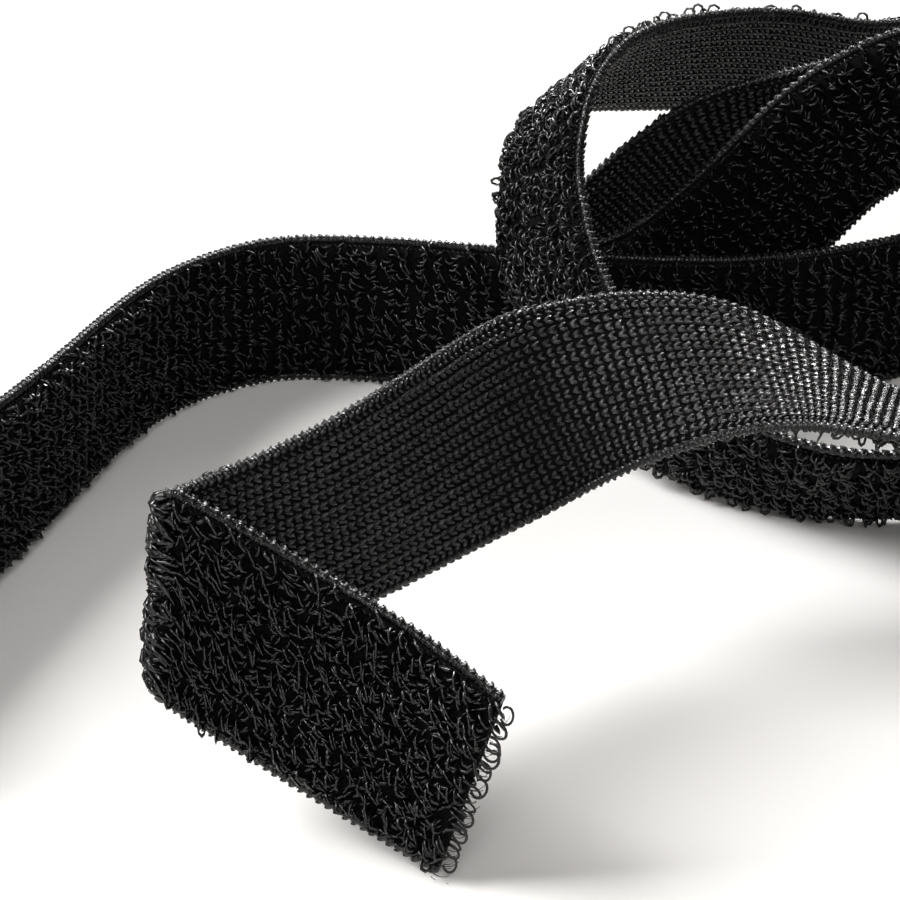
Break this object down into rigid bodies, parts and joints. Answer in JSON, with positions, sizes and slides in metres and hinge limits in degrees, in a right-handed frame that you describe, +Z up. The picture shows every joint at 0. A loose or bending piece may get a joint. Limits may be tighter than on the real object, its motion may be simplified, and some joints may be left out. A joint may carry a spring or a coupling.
{
  "type": "loop fastener tape",
  "caption": "Narrow black woven loop tape for hook and loop fastening, lying loosely looped on a surface with its end folded over, for holding, bundling and closing household goods.",
  "frame": {"origin": "under the middle of the whole object, on the surface that it lies on", "axes": "+Z up from that surface, -Y towards the viewer, +X to the viewer's right"},
  "size_m": [0.1796, 0.1748, 0.0499],
  "materials": {
    "web": "matte",
    "pile": "matte",
    "selvedge": "matte",
    "wale": "matte"
  },
  "bodies": {
    "tape": {"ground_weave": "web", "loop_pile": "pile", "selvedge_lower": "selvedge", "selvedge_upper": "selvedge", "chain_wale_01": "wale", "chain_wale_02": "wale", "chain_wale_03": "wale", "chain_wale_04": "wale", "chain_wale_05": "wale", "chain_wale_06": "wale", "chain_wale_07": "wale", "chain_wale_08": "wale", "chain_wale_09": "wale", "chain_wale_10": "wale", "chain_wale_11": "wale", "chain_wale_12": "wale", "chain_wale_13": "wale", "chain_wale_14": "wale", "chain_wale_15": "wale"},
    "end_flap": {"end_flap_ground_weave": "web", "end_flap_loop_pile": "pile", "end_flap_selvedge_lower": "selvedge", "end_flap_selvedge_upper": "selvedge", "end_flap_chain_wale_01": "wale", "end_flap_chain_wale_02": "wale", "end_flap_chain_wale_03": "wale", "end_flap_chain_wale_04": "wale", "end_flap_chain_wale_05": "wale", "end_flap_chain_wale_06": "wale", "end_flap_chain_wale_07": "wale", "end_flap_chain_wale_08": "wale", "end_flap_chain_wale_09": "wale", "end_flap_chain_wale_10": "wale", "end_flap_chain_wale_11": "wale", "end_flap_chain_wale_12": "wale", "end_flap_chain_wale_13": "wale", "end_flap_chain_wale_14": "wale", "end_flap_chain_wale_15": "wale"}
  },
  "joints": [
    {"name": "crease_fold", "type": "hinge", "parent": "tape", "child": "end_flap", "pos_m": [-0.05031, -0.07536, 0.02326], "axis": [-0.0929, 0.0221, -0.9954], "range_deg": [-38, 105]}
  ]
}
